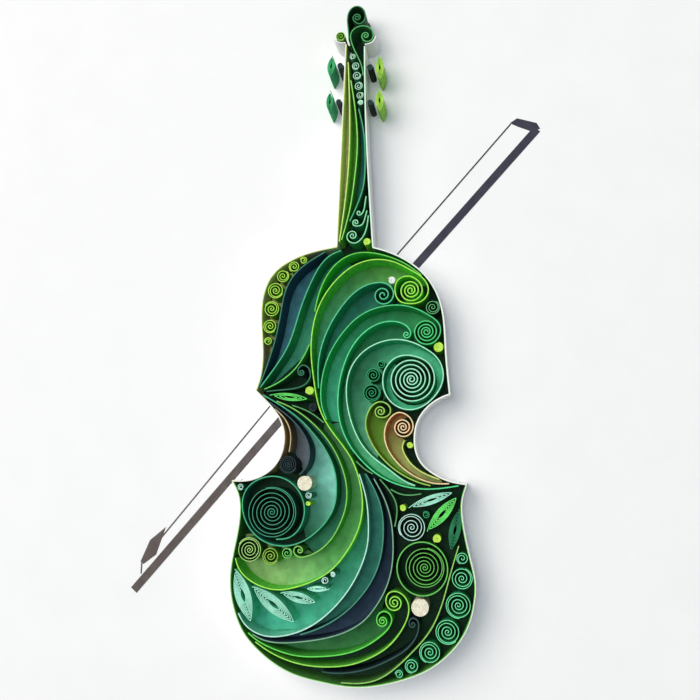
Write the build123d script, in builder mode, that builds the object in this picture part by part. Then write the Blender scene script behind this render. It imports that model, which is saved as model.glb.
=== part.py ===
"""A violin of quilled paper strips, on a backing sheet that has its bow drawn in ink.

The violin lies on its back. X runs across it, Y runs from its tail to its scroll, and Z runs up
from the underside of the backing sheet. Each strip of paper stands on edge, so the pattern below
is the plan of the strips' centre lines, drawn on a grid of squares.
"""
import os
from math import ceil, cos, hypot, radians, sin

from build123d import *

# Driving dimensions, in millimetres
violin_length = 238.0  # from the scroll to the tail
sheet_size = 305.0  # side of the square backing sheet
sheet_thickness = 1.5
card_thickness = 0.4  # coloured card that floors the violin
strip_height = 10.0  # width of the quilling paper, which stands on edge
paper_thickness = 0.4
wall_thickness = 0.5  # stiff white card of the outline
clearance = 0.1  # glue line between the floor card and the walls
ink_height = 0.1
bow_stick_width = 2.9
bow_hair_width = 0.5
coil_pitch = 1.55  # from one turn of a loose coil to the next, on average
coil_growth = 1.3  # over 1 where the turns lie closer in the middle
coil_eye = 0.4  # radius of the innermost turn
fewest_turns = 1.5
tight_coil_radius = 1.25  # a coil this small is rolled tight, with no room between its turns
turn_steps = 8  # straight stretches in one turn of a small coil
rim_sides = 12  # flats round a tight coil
loop_steps = 24  # straight stretches in an oval loop
steps_for_radius = 0.4  # more stretches in a turn, for each millimetre of radius

# How closely the straight stretches of a strip follow its curve
probe_step = 0.25
bend_tolerance = 0.19
largest_bend = 45.0  # degrees
shortest_end = 1.0  # the last stretch, which leaves room for a mitre

# The pattern's grid: it is this many squares long, so one square is about a millimetre
pattern_length = 238.0
square = violin_length / pattern_length

# Levels over the table
sheet_top = Plane.XY.offset(sheet_thickness)
floor_top = Plane.XY.offset(sheet_thickness + card_thickness)
wall_height = card_thickness + strip_height


def curl(centre, inner, outer, end_angle, turns, steps=7):
    """Pattern points of a rolled strip end, from the middle out to end_angle, in degrees."""
    count = max(3, round(abs(turns) * steps))
    points = []
    for step in range(count + 1):
        share = step / count
        angle = radians(end_angle - 360 * turns * (1 - share))
        radius = inner + (outer - inner) * share**coil_growth
        points.append((centre[0] + radius * cos(angle), centre[1] + radius * sin(angle)))
    return points


def marquise(tip_a, tip_b, width, turns, first=0.3, steps=8):
    """Pattern points of a coil pinched at two tips, which grows from a share of its size to all."""
    middle = ((tip_a[0] + tip_b[0]) / 2, (tip_a[1] + tip_b[1]) / 2)
    along = ((tip_b[0] - tip_a[0]) / 2, (tip_b[1] - tip_a[1]) / 2)
    half = hypot(*along)
    across = (-along[1] / half * width / 2, along[0] / half * width / 2)
    count = round(turns * steps)
    points = []
    for step in range(count + 1):
        share = step / count
        angle = radians(360 * turns * share)
        size = first + (1 - first) * share
        u = size * cos(angle)
        v = size * sin(angle) * abs(sin(angle))
        points.append(
            (
                middle[0] + along[0] * u + across[0] * v,
                middle[1] + along[1] * u + across[1] * v,
            )
        )
    return points


def scaled(pattern):
    """Pattern points in millimetres."""
    return [(x * square, y * square) for x, y in pattern]


def bends(points):
    """Places along a smooth curve through points, with its direction at each, closer in a bend."""
    curve = Edge.make_spline([Vector(*point) for point in points])
    count = max(16, ceil(curve.length / probe_step))
    places = [curve @ (index / count) for index in range(count + 1)]
    headings = [curve % (index / count) for index in range(count + 1)]
    kept = [0]
    for index in range(1, count):
        reach = (places[index + 1] - places[kept[-1]]).length
        turn = headings[kept[-1]].get_angle(headings[index + 1])
        if turn > largest_bend or reach * radians(turn) / 8 > bend_tolerance:
            kept.append(index)
    while len(kept) > 1 and (places[count] - places[kept[-1]]).length < shortest_end:
        kept.pop()
    return [(places[index], headings[index]) for index in [*kept, count]]


def left_of(direction):
    """Unit vector to the left of a direction."""
    return Vector(-direction.Y, direction.X)


def mitre(direction, other):
    """Offset to the left for one unit of distance, where two directions meet at a corner."""
    both = left_of(direction) + left_of(other)
    return both * (2 / both.length**2)


def beside(stops, distance, before=None, after=None):
    """Points at a distance to the left of a path. An end that meets another path is mitred."""
    sides = [left_of(direction) for place, direction in stops]
    if before:
        sides[0] = mitre(stops[0][1], before)
    if after:
        sides[-1] = mitre(stops[-1][1], after)
    return [place + side * distance for (place, direction), side in zip(stops, sides)]


def strip_outline(stops, width, before=None, after=None):
    """Profile of a strip of one thickness along a path."""
    left = beside(stops, width / 2, before, after)
    right = beside(stops, -width / 2, before, after)
    with BuildLine() as profile:
        Polyline(*left, *reversed(right), close=True)
    make_face(profile.edges())


def rolled(points):
    """Places along a coil of straight stretches, with the direction at each."""
    places = [Vector(*point) for point in points]
    stretches = [(end - start).normalized() for start, end in zip(places, places[1:])]
    headings = [stretches[0]]
    for before, after in zip(stretches, stretches[1:]):
        headings.append((before + after).normalized())
    headings.append(stretches[-1])
    return list(zip(places, headings))


def coil_outline(x, y, radius, end_angle=0.0):
    """Profile of a coil: loose turns, or a plain round where it is rolled tight.

    The outer turn is glued to the turn inside it, so it closes as a round rim.
    """
    centre = Vector(x, y) * square
    radius = radius * square
    if radius <= tight_coil_radius:
        with Locations(centre):
            RegularPolygon(radius, rim_sides)
        return
    steps = round(turn_steps + steps_for_radius * max(0, radius - 2 * tight_coil_radius))
    outer = radius - paper_thickness / 2
    inner = outer - paper_thickness - clearance
    count = round(max(fewest_turns, (outer - coil_eye) / coil_pitch) * steps)
    path = []
    for step in range(count + 1):
        if step < count - steps:
            reach = coil_eye + (inner - coil_eye) * (step / (count - steps)) ** coil_growth
        else:
            reach = outer - (outer - inner) * (count - step) / steps
        angle = end_angle + 360 * (step - count) / steps
        path.append(centre + Vector(reach, 0).rotate(Axis.Z, angle))
    strip_outline(rolled(path), paper_thickness)


def loop_outline(centre, half_width, half_length):
    """Profile of a strip closed on itself as an oval."""
    stops = []
    for step in range(loop_steps):
        angle = radians(360 * step / loop_steps)
        across = half_width * cos(angle)
        along = half_length * sin(angle)
        heading = Vector(-half_width * sin(angle), half_length * cos(angle)).normalized()
        stops.append((Vector(centre[0] + across, centre[1] + along) * square, heading))
    for width, mode in ((paper_thickness / 2, Mode.ADD), (-paper_thickness / 2, Mode.SUBTRACT)):
        with BuildLine() as rim:
            Polyline(*beside(stops, -width), close=True)
        make_face(rim.edges(), mode=mode)


def save(builder, name):
    """Label one piece and write it."""
    builder.part.label = name
    export_step(builder.part, f"parts/{name}.step")


# The outline's corners and walls, anticlockwise from the top of the neck's left side
neck_left_root = (-6.7, 28.7)
upper_left_corner = (-35.1, -21.8)
lower_left_corner = (-42.9, -52.9)
lower_right_corner = (37.2, -53.6)
upper_right_corner = (32.1, -23.7)
neck_right_root = (6.1, 28.0)
outline = {
    "wall_neck_left": [
        (-3.7, 104.4), (-4.4, 88.7), (-5.2, 71.7), (-5.8, 56.8), (-6.3, 43.5), neck_left_root,
    ],
    "wall_upper_left": [
        neck_left_root, (-17.7, 26.5), (-23.8, 24.0), (-28.9, 20.3), (-32.1, 15.0),
        (-33.4, 8.6), (-33.4, -0.4), (-32.8, -10.3), (-33.5, -16.7), upper_left_corner,
    ],
    "wall_waist_left": [
        upper_left_corner, (-31.3, -25.3), (-28.1, -29.1), (-25.5, -33.4), (-24.7, -37.6),
        (-25.2, -42.3), (-27.4, -47.0), (-30.5, -50.0), (-35.8, -52.4), lower_left_corner,
    ],
    "wall_lower": [
        lower_left_corner, (-40.5, -57.7), (-39.8, -63.1), (-40.5, -70.2), (-42.3, -80.2),
        (-42.8, -87.5), (-41.5, -94.7), (-38.2, -102.6), (-31.2, -109.9), (-22.2, -115.3),
        (-11.4, -118.0), (0.8, -119.2), (13.3, -117.0), (23.7, -113.0), (31.1, -107.3),
        (36.3, -100.3), (39.0, -91.9), (39.4, -84.2), (38.0, -77.6), (36.2, -68.4),
        (35.4, -61.6), (36.0, -57.0), lower_right_corner,
    ],
    "wall_waist_right": [
        lower_right_corner, (30.5, -52.2), (25.3, -49.4), (21.6, -45.5), (20.3, -41.0),
        (20.4, -35.6), (22.4, -30.6), (26.5, -26.4), upper_right_corner,
    ],
    "wall_upper_right": [
        upper_right_corner, (31.5, -17.9), (30.9, -8.7), (30.5, 0.6), (29.6, 6.5),
        (26.9, 13.6), (21.8, 19.9), (14.2, 25.0), neck_right_root,
    ],
    "wall_neck_right": [
        neck_right_root, (5.0, 43.0), (4.2, 54.0), (3.7, 71.2), (3.4, 80.2), (3.1, 103.1),
    ],
}

# The scroll's lobes: centre and radius of the floor card there
scroll_lobes = [((0.2, 115.2), 4.0), ((2.7, 107.9), 3.8), ((-5.8, 107.9), 2.0)]
scroll_neck = [(-3.2, 103.0), (2.6, 103.0), (3.6, 108.0), (-2.8, 113.0)]
scroll_bridge = [(-5.8, 109.0), (-2.0, 109.0), (-2.0, 106.4), (-5.8, 106.4)]
# White walls under the scroll's curls, one each side of the neck
scroll_sides = [
    [(-8.1, 106.9), (-7.3, 105.9), (-6.1, 105.3), (-4.9, 105.1), (-3.8, 105.0)],
    [(3.2, 103.8), (4.6, 104.0), (5.9, 104.6), (6.8, 105.6), (7.3, 106.9)],
]

# Strips that follow long curves, one list of paths for each colour and place
strips = {
    "scroll_top": [[
        *curl((0.4, 114.5), 0.4, 1.7, -120, 1.7), (1.3, 112.0), (2.9, 113.2), (3.3, 115.9),
        (1.6, 118.5), (-1.0, 118.7), (-2.9, 116.1), (-3.1, 111.4), (-2.7, 106.3),
    ]],
    "scroll_right_curl": [[
        *curl((3.5, 107.2), 0.3, 1.5, -150, 1.6), (3.0, 105.3), (5.0, 105.0), (6.3, 107.4),
        (4.9, 110.2), (2.1, 111.1), (-0.9, 110.0), (-2.1, 107.4), (-1.5, 104.8), (-0.1, 101.5),
        (1.4, 98.1), (2.3, 94.5), (2.6, 92.0),
    ]],
    "neck_strip_lime": [[
        (-2.9, 97.4), (-2.5, 86.7), (-2.1, 76.8), (-2.3, 65.9), (-2.8, 54.8), (-3.8, 45.6),
        (-5.0, 36.5), (-5.8, 30.6),
    ]],
    "neck_strip_green": [[
        (-1.9, 90.4), (-0.9, 81.2), (0.3, 71.4), (0.4, 62.0), (-0.4, 53.9), (-1.8, 43.7),
        (-3.3, 37.4), (-5.0, 31.2),
    ]],
    "neck_strip_teal": [[
        (1.0, 79.4), (2.2, 74.6), (2.8, 67.5), (3.2, 60.0), (3.2, 53.4), (1.6, 46.5),
        (-0.6, 41.1), (-2.1, 37.9),
    ]],
    "neck_curls": [
        [*curl((1.2, 40.8), 0.3, 1.0, -60, 1), (2.6, 41.5), (3.3, 43.8), (3.7, 46.7)],
        [*curl((0.1, 37.3), 0.3, 1.4, -70, 1.5), (1.9, 36.2), (3.2, 38.4), (4.0, 41.4)],
        [
            *curl((-1.1, 32.6), 0.3, 1.6, 110, 1.5), (-3.1, 32.3), (-1.8, 30.2), (0.7, 30.1),
            (2.6, 32.4), (4.0, 35.4), (4.5, 39.6),
        ],
    ],
    "sweep_navy": [[
        (-10.9, 27.0), (-16.6, 23.6), (-22.1, 18.8), (-25.3, 12.3), (-26.8, 3.7),
        (-28.8, -5.1), (-30.8, -10.6), (-32.5, -15.6), (-33.6, -19.5),
    ]],
    "sweep_slate": [[
        (-5.2, 27.3), (-10.9, 24.1), (-15.1, 17.7), (-18.4, 9.9), (-21.4, 0.8), (-24.5, -7.7),
        (-29.0, -14.5), (-33.5, -20.6),
    ]],
    "sweep_corner": [[
        (-16.2, -5.9), (-17.8, -9.3), (-20.4, -13.4), (-23.6, -16.6), (-26.9, -18.9),
        (-32.0, -21.3),
    ]],
    "sweep_shoulder": [[
        (23.0, 17.5), (18.2, 21.3), (13.2, 23.9), (5.8, 26.1), (-0.9, 25.9), (-6.9, 22.5),
        (-11.0, 16.9), (-13.2, 11.2), (-14.4, 5.8),
    ]],
    "sweep_lime": [[
        *curl((19.2, 12.4), 0.5, 4.0, 0, 3.2), (21.5, 15.9), (18.2, 17.4), (14.9, 16.1),
        (13.8, 12.4), (15.2, 8.9), (19.2, 7.7), (23.3, 8.7), (25.3, 12.1), (23.9, 16.0),
        (19.8, 19.2), (14.2, 22.3), (5.8, 23.6), (-1.2, 21.4), (-7.6, 15.9), (-12.2, 9.2),
        (-14.3, 3.4), (-15.5, -4.3), (-15.3, -12.7), (-13.8, -22.1), (-11.8, -29.7),
        (-8.1, -35.9), (-3.8, -41.7), (-0.3, -47.2), (1.7, -53.7), (2.5, -59.3), (1.2, -68.4),
        (-2.8, -76.1), (-8.8, -82.8), (-17.2, -87.1), (-26.7, -89.0), (-34.4, -87.0),
        (-39.0, -83.5), (-41.1, -78.9),
    ]],
    "sweep_teal": [[
        *curl((9.6, 11.0), 0.5, 4.0, 60, 2.25), (7.9, 15.4), (4.4, 14.8), (-1.2, 11.4),
        (-6.1, 5.5), (-10.0, -1.4), (-12.4, -8.9), (-13.1, -16.3), (-12.8, -21.1),
    ]],
    "sweep_green": [[
        *curl((24.5, -2.2), 0.5, 4.6, -20, 4), (29.3, -1.3), (28.3, 1.2), (25.8, 3.2),
        (19.3, 6.5), (10.7, 7.1), (2.3, 4.3), (-4.7, -2.3), (-9.5, -10.4), (-11.8, -19.4),
        (-11.8, -26.0), (-9.9, -32.0),
    ]],
    "sweep_leaf": [[
        *curl((17.7, -3.0), 0.3, 1.4, 0, 1.5), (18.6, -1.1), (14.1, 1.5), (6.2, 0.1),
        (-0.5, -6.0), (-4.5, -15.0), (-6.0, -24.1), (-5.3, -32.5), (-2.1, -40.3),
        (1.7, -45.3), (6.5, -49.7), (12.4, -53.0), (19.4, -54.9), (28.7, -55.0),
        (34.6, -54.1),
    ]],
    "sweep_mint": [[
        *curl((19.3, -18.5), 0.5, 8.2, 95, 6), (15.8, -10.3), (12.7, -11.9), (10.5, -14.5),
        (9.5, -18.6), (10.3, -23.1), (13.0, -26.7), (17.0, -28.6), (20.8, -28.5),
        (24.7, -26.5), (28.2, -22.8), (30.0, -17.9), (28.5, -11.9), (23.6, -7.7),
        (15.8, -4.8), (7.9, -5.8), (2.0, -9.4), (-1.8, -15.0), (-3.1, -22.6), (-1.8, -31.2),
        (1.5, -39.2), (6.5, -45.1), (13.3, -50.1), (16.8, -52.6), (20.2, -54.1),
    ]],
    "curl_dark_teal": [[
        *curl((-18.9, -15.6), 0.3, 1.2, -180, -1.5), (-19.8, -14.0), (-18.5, -13.1),
        (-16.9, -13.6), (-15.9, -15.2), (-15.8, -17.1), (-16.7, -19.0), (-18.3, -20.2),
        (-21.0, -21.1), (-25.0, -21.6), (-31.2, -22.1),
    ]],
    "curl_olive": [[
        *curl((8.7, -29.3), 0.4, 2.2, -60, 2), (11.4, -30.6), (12.1, -28.8), (10.9, -26.8),
        (8.6, -26.0), (6.0, -27.2), (4.3, -29.9), (3.6, -33.9), (4.3, -37.0), (7.2, -42.5),
        (11.9, -47.6), (18.6, -51.9), (25.3, -54.1),
    ]],
    "curl_tan": [[
        *curl((16.3, -34.7), 0.4, 3.4, 0, 3.0), (19.1, -32.1), (17.5, -30.5), (15.0, -29.7),
        (12.4, -31.1), (10.3, -34.9), (10.2, -39.2), (13.2, -45.2), (18.3, -49.9),
        (24.1, -52.7), (31.5, -53.4),
    ]],
    "waist_strip_lime": [[
        (16.8, -39.2), (16.1, -41.0), (16.9, -43.9), (18.8, -46.7), (21.8, -49.2),
        (25.3, -50.9), (28.3, -52.0),
    ]],
    "waist_strip_tan": [[
        (-28.1, -28.2), (-24.9, -31.3), (-22.9, -35.0), (-22.4, -38.6), (-22.9, -43.0),
    ]],
    "waist_strip_navy": [[
        (-30.1, -25.9), (-25.3, -29.3), (-21.7, -32.3), (-18.4, -36.1), (-16.1, -40.7),
        (-15.9, -45.2), (-17.2, -48.6), (-19.2, -50.7),
    ]],
    "band_teal": [[
        (-32.5, -23.3), (-26.7, -26.9), (-21.0, -30.6), (-16.3, -34.6), (-12.1, -40.0),
        (-8.2, -46.0), (-6.4, -54.1), (-7.3, -61.7), (-10.2, -66.7), (-15.0, -71.2),
        (-19.3, -73.6), (-25.3, -74.6), (-31.5, -73.0), (-36.8, -68.2), (-39.0, -62.3),
        (-38.2, -56.6), (-33.5, -52.4), (-25.6, -51.7), (-20.0, -55.4), (-17.3, -62.4),
        (-19.4, -69.2), (-27.0, -72.4),
    ]],
    "band_green": [[
        *curl((-18.8, -76.0), 0.3, 1.1, 60, 1.2), (-19.3, -74.6), (-20.5, -75.1),
        (-20.8, -76.5), (-19.9, -77.7), (-18.2, -78.2), (-16.0, -77.7), (-11.6, -75.5),
        (-8.0, -72.0), (-4.7, -66.0), (-2.8, -58.9), (-3.4, -51.9), (-6.5, -43.6),
        (-12.8, -35.1), (-20.6, -28.8), (-27.6, -25.5),
    ]],
    "band_mint": [[
        (1.4, -50.4), (3.8, -58.8), (4.5, -65.6), (4.3, -73.1), (2.0, -80.9), (-2.1, -88.4),
        (-7.6, -94.9), (-15.0, -100.6), (-23.8, -103.8), (-30.8, -104.0), (-36.4, -101.4),
        (-39.7, -97.0),
    ]],
    "band_dark": [[
        (3.6, -50.3), (7.4, -57.3), (9.3, -63.9), (9.4, -72.0), (7.9, -80.3), (5.1, -86.2),
        (0.5, -92.2), (-5.6, -97.5), (-12.3, -101.2), (-18.3, -103.3),
    ]],
    "band_light_green": [[
        (6.4, -51.9), (10.3, -59.4), (12.2, -66.1), (12.8, -72.9), (12.3, -81.0),
        (10.4, -87.5), (7.8, -92.3), (4.6, -96.6), (0.8, -99.9), (-4.5, -102.5),
        (-11.6, -104.6), (-19.0, -105.7), (-26.5, -106.1), (-31.5, -105.2), (-34.6, -103.7),
    ]],
    "branch_strips": [
        [(0.4, -46.1), (1.7, -47.5), (3.9, -49.1), (6.0, -50.3)],
        [(-22.0, -27.0), (-19.0, -28.0), (-15.9, -29.4), (-10.9, -33.0)],
        [(8.4, -52.1), (10.7, -54.6), (12.4, -57.0), (13.9, -60.2), (14.1, -63.5), (13.4, -67.6)],
        [(12.1, -55.4), (13.8, -56.4), (16.4, -57.1), (19.7, -57.2), (22.2, -56.8)],
    ],
    "base_curl_lime": [[
        *curl((13.2, -92.1), 0.5, 2.8, -185, -2.3), (11.1, -89.4), (13.4, -88.5),
        (16.0, -89.6), (17.8, -92.7), (17.4, -96.8), (14.8, -101.8), (10.4, -106.6),
        (4.5, -110.1), (-1.8, -112.3), (-9.8, -113.2), (-17.9, -112.7), (-26.1, -110.3),
        (-33.6, -106.1),
    ]],
    "base_curl_green": [[
        *curl((9.2, -98.1), 0.4, 1.9, -190, -2), (7.9, -96.0), (9.9, -95.0), (11.9, -96.2),
        (12.2, -98.2), (10.4, -101.1), (7.1, -104.1), (1.8, -107.1), (-4.8, -109.2),
        (-12.5, -110.1), (-19.9, -110.0), (-27.2, -108.2), (-32.3, -106.0), (-36.2, -103.3),
    ]],
    "base_curl_slate": [[
        *curl((19.1, -98.8), 0.3, 1.2, -200, -1.3), (18.9, -96.9), (20.6, -97.5),
        (21.1, -99.5), (20.2, -102.7), (17.6, -106.2), (13.0, -109.4), (7.7, -112.1),
        (1.8, -114.0), (-4.1, -115.0), (-10.8, -114.8),
    ]],
    "edge_strip": [[
        (34.4, -73.6), (32.3, -79.8), (31.0, -84.8), (28.9, -91.3), (26.4, -98.0),
        (22.1, -104.0), (17.2, -109.3), (12.3, -113.6), (7.8, -116.4), (4.0, -117.6),
        (-4.5, -118.0),
    ]],
}

# Coils: centre and radius of each
coils = {
    "scroll_left_coil": [(-5.8, 107.8, 2.0)],
    "neck_coils": [
        (-1.3, 99.6, 1.3), (-0.2, 95.9, 1.6), (0.2, 92.2, 1.7), (0.8, 88.2, 1.7),
        (1.3, 84.6, 1.5), (1.7, 81.7, 1.1),
    ],
    "shoulder_coils": [
        (-18.7, 24.4, 1.5), (-22.1, 22.2, 2.1), (-26.1, 18.9, 2.4), (-28.7, 13.8, 3.0),
        (-30.0, 7.2, 2.9), (-30.5, 1.0, 2.6), (-31.1, -4.3, 1.6),
    ],
    "rings_dark_green": [
        (8.8, -13.1, 1.6), (6.1, -16.8, 2.6), (5.6, -22.8, 3.2), (23.7, -63.5, 1.4),
    ],
    "beads_lime": [
        (4.0, 30.3, 1.5), (18.5, -40.5, 1.3), (28.4, -7.5, 1.9), (16.0, -61.4, 1.3),
        (-16.0, -21.9, 1.7), (-16.1, -60.3, 0.9), (27.3, -71.2, 1.6),
    ],
    "beads_cream": [(12.6, 16.2, 1.5), (-17.5, -53.4, 2.8), (21.4, -93.3, 3.1)],
    "coils_mint": [
        (18.8, -67.7, 4.8), (-16.1, -57.5, 1.3), (-39.9, -54.8, 1.3), (-10.1, -85.5, 1.4),
        (-7.4, -83.6, 1.0),
    ],
    "coils_dark": [(-23.3, -47.2, 3.2), (-14.8, -27.6, 1.6)],
    "coil_big_dark": [(-28.9, -63.3, 8.8)],
    "coil_big_green": [(23.1, -80.6, 6.6)],
    "coils_green": [
        (-36.5, -75.9, 4.4), (-29.0, -77.9, 3.0), (-23.3, -76.8, 2.0), (26.6, 6.3, 2.6),
    ],
    "coil_chain": [
        (35.4, -77.4, 2.1), (35.2, -83.8, 3.6), (33.8, -92.3, 4.4), (30.2, -100.7, 4.2),
        (24.5, -107.3, 3.6), (18.6, -111.8, 2.4), (14.5, -114.4, 1.5),
    ],
}
# An oval loop round the big green coil: centre, half width and half length
loops = {"coil_big_green": ((22.4, -81.1), 8.3, 8.6)}

# Marquises: two tips, width and turns
marquises = {
    "marquises_mint": [
        ((-41.5, -82.5), (-34.8, -101.2), 6.4, 2.5), ((-35.4, -88.3), (-19.0, -100.4), 6.0, 2.5),
        ((-25.4, -90.2), (-11.1, -93.2), 4.4, 1.5), ((-18.3, -88.5), (-8.4, -88.1), 2.8, 1.0),
        ((18.0, -61.7), (35.1, -55.4), 3.9, 1.5),
    ],
    "marquises_green": [
        ((-30.3, -23.6), (-14.1, -25.1), 3.5, 1.5), ((24.2, -69.3), (34.9, -56.8), 4.6, 2.5),
        ((34.5, -61.4), (31.4, -77.0), 4.9, 1.5),
    ],
}
pegs = {
    "pegs_left": [
        ((-9.0, 100.6), (-9.7, 91.0), 3.6, 1.5), ((-9.6, 87.2), (-9.9, 77.5), 3.4, 1.5),
    ],
    "pegs_right": [
        ((8.2, 99.3), (8.8, 88.8), 3.9, 1.5), ((8.0, 86.4), (8.9, 76.8), 3.9, 1.5),
    ],
}
peg_shafts = [(-5.9, 96.5, 1.4), (-6.4, 82.7, 1.3), (5.0, 95.2, 1.4), (5.2, 81.6, 1.2)]

# The drawn bow: the stick and the hair, each as two runs that meet under the violin, head and frog
bow_stick = [((64.1, 72.1), (0.0, 0.9)), ((0.0, 1.0), (-81.5, -92.0))]
bow_hair = [((54.9, 74.6), (0.0, 12.3)), ((0.0, 12.4), (-78.5, -81.4))]
bow_head = [(54.6, 74.9), (57.2, 76.6), (64.0, 74.4), (65.2, 72.2), (62.4, 71.2), (57.4, 73.4)]
bow_frog = [(-70.3, -69.7), (-76.1, -74.4), (-79.4, -82.0), (-78.2, -82.8), (-73.6, -79.4)]
bow_hook = ((-78.9, -82.4), (-79.0, -86.2))

os.makedirs("parts", exist_ok=True)

with BuildPart() as backing_sheet:
    with BuildSketch():
        Rectangle(sheet_size, sheet_size)
    extrude(amount=sheet_thickness)
save(backing_sheet, "backing_sheet")

# Each wall is mitred against its neighbours
walls = [bends(scaled(path)) for path in outline.values()]
befores = [None, *[stops[-1][1] for stops in walls[:-1]]]
afters = [*[stops[0][1] for stops in walls[1:]], None]


def outline_field(inset, mode=Mode.ADD):
    """Field inside the outline, at a distance from the middle of its walls."""
    edge = []
    for stops, before, after in zip(walls, befores, afters):
        edge += beside(stops, inset, before, after)[:-1]
    edge.append(beside(walls[-1], inset)[-1])
    with BuildLine() as rim:
        Polyline(*edge, close=True)
    make_face(rim.edges(), mode=mode)


# Ink lies on the sheet and stops at the violin, which covers the rest of the bow
with BuildPart() as drawn_bow:
    with BuildSketch(sheet_top):
        for start, end in bow_stick:
            with BuildLine():
                stick = Line(*scaled([start, end]))
            trace(line_width=bow_stick_width)
        for start, end in [*bow_hair, bow_hook]:
            with BuildLine():
                hair = Line(*scaled([start, end]))
            trace(line_width=bow_hair_width)
        for field in (bow_head, bow_frog):
            with BuildLine():
                Polyline(*scaled(field), close=True)
            make_face()
        outline_field(-wall_thickness / 2 - clearance, mode=Mode.SUBTRACT)
    extrude(amount=ink_height)
save(drawn_bow, "drawn_bow")

for name, stops, before, after in zip(outline, walls, befores, afters):
    with BuildPart() as wall:
        with BuildSketch(sheet_top):
            strip_outline(stops, wall_thickness, before, after)
        extrude(amount=wall_height)
    save(wall, name)

# The floor card lies inside all the walls
with BuildPart() as floor_card:
    with BuildSketch(sheet_top):
        outline_field(wall_thickness / 2 + clearance)
        for centre, radius in scroll_lobes:
            with Locations(*scaled([centre])):
                RegularPolygon(radius * square, rim_sides)
        for field in (scroll_neck, scroll_bridge):
            with BuildLine():
                Polyline(*scaled(field), close=True)
            make_face()
    extrude(amount=card_thickness)
save(floor_card, "floor_card")

with BuildPart() as scroll_walls:
    with BuildSketch(sheet_top):
        for path in scroll_sides:
            strip_outline(bends(scaled(path)), paper_thickness)
    extrude(amount=wall_height)
save(scroll_walls, "scroll_walls")

for name, paths in strips.items():
    with BuildPart() as strip:
        with BuildSketch(floor_top):
            for path in paths:
                strip_outline(bends(scaled(path)), paper_thickness)
        extrude(amount=strip_height)
    save(strip, name)

for name, members in coils.items():
    with BuildPart() as coil:
        with BuildSketch(floor_top):
            if name in loops:
                loop_outline(*loops[name])
            for x, y, radius in members:
                coil_outline(x, y, radius)
        extrude(amount=strip_height)
    save(coil, name)

for base, height, groups in (
    (floor_top, strip_height, marquises),
    (sheet_top, wall_height, pegs),
):
    for name, members in groups.items():
        with BuildPart() as eye:
            with BuildSketch(base):
                for tip_a, tip_b, width, turns in members:
                    path = marquise(tip_a, tip_b, width, turns)
                    strip_outline(rolled(scaled(path)), paper_thickness)
            extrude(amount=height)
        save(eye, name)

with BuildPart() as shafts:
    with BuildSketch(sheet_top):
        for x, y, radius in peg_shafts:
            coil_outline(x, y, radius)
    extrude(amount=wall_height)
save(shafts, "peg_shafts")
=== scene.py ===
"""A violin of quilled paper strips on a white sheet, dressed over its CAD frame.

Lengths here are millimetres unless a name ends in _m, and places are in the frame's own axes.
Each strip's line is read from the frame, smoothed, and built again as a real strip of paper.
"""

import random
from math import ceil, cos, hypot, pi, radians, sin

import bmesh
import bpy
import numpy as np
from mathutils import Matrix, Vector


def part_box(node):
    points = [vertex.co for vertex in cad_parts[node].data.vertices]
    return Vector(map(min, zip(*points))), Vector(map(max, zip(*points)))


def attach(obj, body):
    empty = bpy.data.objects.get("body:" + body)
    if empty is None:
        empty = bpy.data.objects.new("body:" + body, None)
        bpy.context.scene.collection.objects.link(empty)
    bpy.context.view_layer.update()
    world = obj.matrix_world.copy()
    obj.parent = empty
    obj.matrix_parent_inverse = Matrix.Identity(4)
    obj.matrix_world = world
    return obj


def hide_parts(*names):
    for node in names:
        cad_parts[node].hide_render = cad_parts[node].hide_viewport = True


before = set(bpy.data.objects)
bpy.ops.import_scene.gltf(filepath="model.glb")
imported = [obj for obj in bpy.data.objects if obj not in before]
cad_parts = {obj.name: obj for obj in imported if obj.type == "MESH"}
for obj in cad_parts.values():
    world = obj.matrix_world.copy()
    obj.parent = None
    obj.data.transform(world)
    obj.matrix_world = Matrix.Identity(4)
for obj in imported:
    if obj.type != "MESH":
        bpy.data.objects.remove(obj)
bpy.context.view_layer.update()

MM = 0.001
WELD = 1e-6  # metres
SAME_PLACE = 1e-4  # points nearer than this are one
STEP = 0.5  # length of one stretch of a smooth strip
ANY_ANGLE = (0, 6)  # radians

# Papers
PAPER = 0.4  # thickness of a strip in the frame
CARD = 0.5  # thickness of the outline's card in the frame
THIN = 0.26  # thickness of the paper in a coil, so that its turns stay apart
EDGE_BEVEL = 0.05
PROFILE = 6  # points round the section of a strip
SHARP_ANGLE = radians(40)
LOWERED = (0.02, 0.1)  # least and most that a strip's top is lower than its frame's
UNEVEN = 0.06  # how much the top of a strip rises and falls
COIL_UNEVEN = 0.02
WAVES = (5, 11)  # least and most length of that rise and fall, divided by pi

# Coils
ROLLED = 300  # degrees that a strip's rolled end turns through at least
TIGHT_PITCH = 0.29  # from one turn of a tight coil to the next
TIGHT_EYE = 0.12  # radius at the middle of a tight coil
OPEN_EYE = 0.22
OPEN_GROWTH = 1.3  # over 1, the turns stand wider apart towards the rim
LEAST_TURNS = 0.8
LEAST_STEPS = 24  # in one turn
TURN_GAP = 0.03  # between a coil's last turn and the turn inside it
ROUND_POINTS = 12  # the frame's tight coils are rounds with this many points at most
OVAL_STEPS = 120  # in a closed ring round a coil
EYE_PITCH = 0.9  # from one turn of a marquise to the next, across it
EYE_STEPS = 48  # in one turn
EYE_FIRST = 0.25  # size of a marquise's first turn as a share of the whole
TIP_INSET = 0.25  # from a marquise's tip in the frame to the tip of its line
SAME_SPOT = 1.5  # a member this near to a listed middle is the one that is meant

# Papers on the floor
FLOOR_STEPS = 60  # along one paper
FLOOR_LAYER = 0.02  # from one paper up to the next
HEM_HEIGHT = 0.01  # over the floor card
HEM_EDGES = (0.1, 0.9)  # from the wall's middle line

random.seed(11)

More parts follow.
